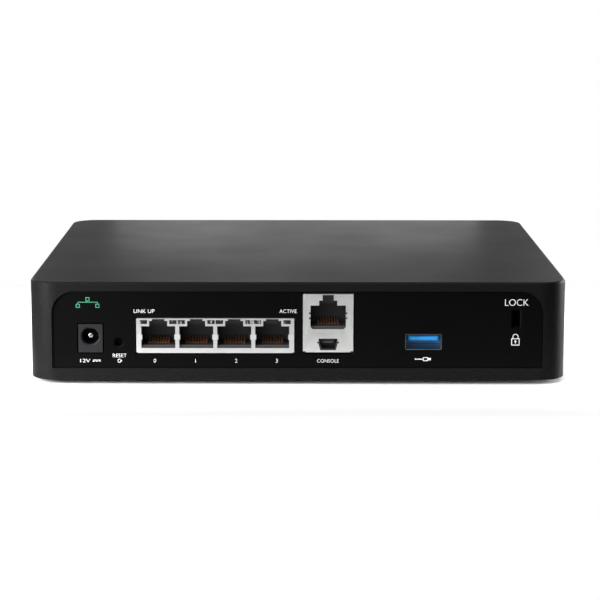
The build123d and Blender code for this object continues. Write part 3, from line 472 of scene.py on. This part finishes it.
def arc_band(cx, cz, r, t, start, end, steps=20):
    """Curved stroke of thickness t as quads."""
    quads = []
    for i in range(steps):
        a = math.radians(start + (end - start) * i / steps)
        b = math.radians(start + (end - start) * (i + 1) / steps)
        inner, outer = r - t / 2, r + t / 2
        quads.append([
            (cx + inner * math.cos(a), cz + inner * math.sin(a)),
            (cx + outer * math.cos(a), cz + outer * math.sin(a)),
            (cx + outer * math.cos(b), cz + outer * math.sin(b)),
            (cx + inner * math.cos(b), cz + inner * math.sin(b)),
        ])
    return quads


def network_pictogram():
    """Three linked squares: a generic network mark."""
    x, z = NETWORK_AT
    square, step, line = 1.5, 3.6, 0.32
    beam_low, beam_middle, beam_high, upper = z + 1.95, z + 2.1, z + 2.25, z + 2.5
    half, thin = square / 2, line / 2
    shapes = frame_bars(x - half, upper, x + half, upper + square, line)
    for side in (-step, step):
        shapes += frame_bars(x + side - half, z, x + side + half, z + square, line)
        shapes.append(bar(x + side - thin, z + square, x + side + thin, beam_middle))
    shapes.append(bar(x - step - thin, beam_low, x + step + thin, beam_high))
    shapes.append(bar(x - thin, beam_high, x + thin, upper))
    return strokes("network_pictogram", shapes, GREEN_INK)


def dc_symbol():
    """Solid line over a broken one."""
    x, z = DC_AT
    half, rise, dash, pitch, line = 1.5, 0.45, 0.7, 1.15, 0.16
    shapes = [bar(x - half, z + rise, x + half, z + rise + line)]
    for i in range(3):
        left = x - half + i * pitch
        shapes.append(bar(left, z, left + dash, z + line))
    return strokes("direct_current_symbol", shapes, WHITE_INK)


def reset_symbol():
    """Open ring with an arrow head."""
    x, z = RESET_AT
    ring, line, opens, closes = 0.62, 0.17, 60, 350
    head, foot, tip = 0.36, 0.1, 0.4
    shapes = arc_band(x, z, ring, line, opens, closes)
    shapes.append([(x + ring - head, z - foot), (x + ring + head, z - foot), (x + ring, z + tip)])
    return strokes("reset_symbol", shapes, WHITE_INK)


def padlock_symbol():
    """Padlock outline with a keyhole."""
    x, z = PADLOCK_AT
    half, body, line = 1.5, 2.6, 0.24
    shackle, shackle_z = 0.95, z + 3.2
    eye, eye_z, slit, slit_z = 0.18, z + 1.5, 0.13, (z + 0.7, z + 1.4)
    shapes = frame_bars(x - half, z, x + half, z + body, line)
    shapes += arc_band(x, shackle_z, shackle, line, 0, 180)
    for side in (-shackle, shackle):
        shapes.append(bar(x + side - line / 2, z + body, x + side + line / 2, shackle_z))
    shapes += arc_band(x, eye_z, eye, 2 * eye, 0, 360, 12)
    shapes.append(bar(x - slit, slit_z[0], x + slit, slit_z[1]))
    return strokes("padlock_symbol", shapes, WHITE_INK)


def plug_symbol():
    """Generic plug on a lead."""
    x, z = PLUG_AT
    middle, line, lead = z + 0.5, 0.22, 0.13
    body_x, body_half = (x - 0.2, x + 1.7), 0.7
    nose_x, nose_half = x + 2.7, 0.4
    tail_x = x - 2.9
    shapes = frame_bars(body_x[0], middle - body_half, body_x[1], middle + body_half, line)
    shapes.append(bar(body_x[1], middle - nose_half, nose_x, middle + nose_half))
    shapes.append(bar(tail_x, middle - lead, body_x[0], middle + lead))
    shapes += arc_band(tail_x, middle, lead, 2 * lead, 0, 360, 12)
    return strokes("plug_symbol", shapes, WHITE_INK)


network_pictogram()
dc_symbol()
reset_symbol()
padlock_symbol()
plug_symbol()
for legend in LEGENDS:
    lettering(*legend)
for i in range(PORTS):
    x = DIGITS_X + (i - (PORTS - 1) / 2) * DIGIT_PITCH
    lettering(f"legend_port_{i}", str(i), x, DIGIT_Z, DIGIT_HEIGHT)


# ------------------------------------------------------------------ floor, light, camera
def beyond_outline(n):
    """Distance on the floor from the object's own outline, in metres."""
    sides = []
    for name, reach in zip("XY", cad_high):
        sides.append(n.calc("SUBTRACT", n.calc("ABSOLUTE", n.axis(name)), reach))
    return n.calc("MAXIMUM", *sides)


def plane(name, size, height):
    mesh = bpy.data.meshes.new(name)
    made = bmesh.new()
    bmesh.ops.create_grid(made, x_segments=2, y_segments=2, size=size)
    bmesh.ops.translate(made, verts=made.verts, vec=(0, 0, height))
    made.to_mesh(mesh)
    made.free()
    obj = bpy.data.objects.new(name, mesh)
    scene.collection.objects.link(obj)
    return obj


def only_camera_sees(obj):
    obj.visible_diffuse = obj.visible_glossy = obj.visible_transmission = False
    obj.visible_shadow = obj.visible_volume_scatter = False


def make_floor():
    """Lit table: white close round the object, greyer further out; beside the outline the floor glows,
    brighter to the left, as painted light standing in for bounced light.
    """
    floor = plane("studio_floor", FLOOR_SIZE, 0.0)
    n = Nodes("studio_floor")
    away = beyond_outline(n)
    far = n.spread(away, 0.0, 1.0, *TABLE_EDGE)
    n.set(Base_Color=n.blend(far, (0.90, 0.90, 0.90), TABLE_FAR), Roughness=0.5)
    n.shader.inputs["Specular IOR Level"].default_value = 0.2
    # emission beside the outline: painted light glowing from the floor, fading out and brighter to the
    # left
    glow = n.spread(away, 0.0, GLOW_NEAR, 0.0, GLOW_NEAR_END)
    fade = n.spread(away, 1.0, 0.0, *TABLE_EDGE)
    start, end, left, right = GLOW_ACROSS
    across = n.spread(n.axis("X"), left, right, start, end)
    strength = n.calc("MULTIPLY", n.calc("MULTIPLY", glow, fade), across)
    n.set(Emission_Color=(1.0, 1.0, 1.0), Emission_Strength=strength)
    floor.data.materials.append(n.material)


def make_sweep():
    """White paper look of the floor away from the object, for the camera alone."""
    sweep = plane("studio_sweep", FLOOR_SIZE, SWEEP_Z)
    n = Nodes("studio_sweep")
    away = beyond_outline(n)
    n.set(Base_Color=(0.0, 0.0, 0.0), Emission_Color=(1.0, 1.0, 1.0), Emission_Strength=1.0)
    n.set(Alpha=n.spread(away, 0.0, 1.0, SWEEP_START, SWEEP_END))
    n.shader.inputs["Specular IOR Level"].default_value = 0.0
    sweep.data.materials.append(n.material)
    only_camera_sees(sweep)


def soft_light(name, at, target, size, power, seen):
    data = bpy.data.lights.new(name, "AREA")
    data.shape = "RECTANGLE"
    data.size, data.size_y = size
    data.energy = power
    lamp = bpy.data.objects.new(name, data)
    scene.collection.objects.link(lamp)
    lamp.visible_camera = seen
    lamp.location = at
    lamp.rotation_euler = (Vector(target) - Vector(at)).to_track_quat("-Z", "Y").to_euler()
    return lamp


def make_world():
    """Even studio light: brightest in front and to the left, dim behind."""
    world = bpy.data.worlds.new("studio")
    scene.world = world
    world.use_nodes = True
    tree = world.node_tree
    split = tree.nodes.new("ShaderNodeSeparateXYZ")
    tree.links.new(tree.nodes.new("ShaderNodeTexCoord").outputs["Generated"], split.inputs["Vector"])
    parts = []
    for axis, (start, end, low, high) in WORLD_FALL.items():
        tool = tree.nodes.new("ShaderNodeMapRange")
        tool.interpolation_type = "SMOOTHSTEP"
        for key, value in (("From Min", start), ("From Max", end), ("To Min", low), ("To Max", high)):
            tool.inputs[key].default_value = value
        tree.links.new(split.outputs[axis], tool.inputs["Value"])
        parts.append(tool.outputs["Result"])
    product = tree.nodes.new("ShaderNodeMath")
    product.operation = "MULTIPLY"
    tree.links.new(parts[0], product.inputs[0])
    tree.links.new(parts[1], product.inputs[1])
    tree.links.new(product.outputs["Value"], tree.nodes["Background"].inputs["Strength"])
    tree.nodes["Background"].inputs["Color"].default_value = (1.0, 1.0, 1.0, 1.0)


def make_backdrop():
    """White dome round the scene that only the camera sees."""
    mesh = bpy.data.meshes.new("studio_backdrop")
    made = bmesh.new()
    bmesh.ops.create_uvsphere(made, u_segments=48, v_segments=24, radius=BACKDROP_R)
    made.to_mesh(mesh)
    made.free()
    dome = bpy.data.objects.new("studio_backdrop", mesh)
    scene.collection.objects.link(dome)
    n = Nodes("studio_backdrop")
    n.set(Base_Color=(0.0, 0.0, 0.0), Emission_Color=(1.0, 1.0, 1.0), Emission_Strength=1.0)
    n.shader.inputs["Specular IOR Level"].default_value = 0.0
    mesh.materials.append(n.material)
    only_camera_sees(dome)


def make_camera():
    data = bpy.data.cameras.new("camera")
    data.sensor_width = SENSOR
    data.lens = FOCAL_PER_WIDTH * SENSOR
    data.clip_start, data.clip_end = CLIP_NEAR, CLIP_FAR
    camera = bpy.data.objects.new("camera", data)
    scene.collection.objects.link(camera)
    yaw, pitch, roll = CAMERA_YAW, CAMERA_PITCH, CAMERA_ROLL
    right = Vector((math.cos(yaw), -math.sin(yaw), 0))
    level = Vector((math.sin(yaw), math.cos(yaw), 0))
    forward = level * math.cos(pitch) - Vector((0, 0, math.sin(pitch)))
    up = right.cross(forward)
    across = right * math.cos(roll) + up * math.sin(roll)
    above = up * math.cos(roll) - right * math.sin(roll)
    turn = Matrix((across, above, -forward)).transposed().to_4x4()
    camera.matrix_world = Matrix.Translation(CAMERA_AT) @ turn
    scene.camera = camera


make_floor()
make_sweep()
make_backdrop()
make_world()
for light in LIGHTS:
    soft_light(*light)
make_camera()
scene.view_settings.view_transform = "Standard"
scene.view_settings.look = "None"
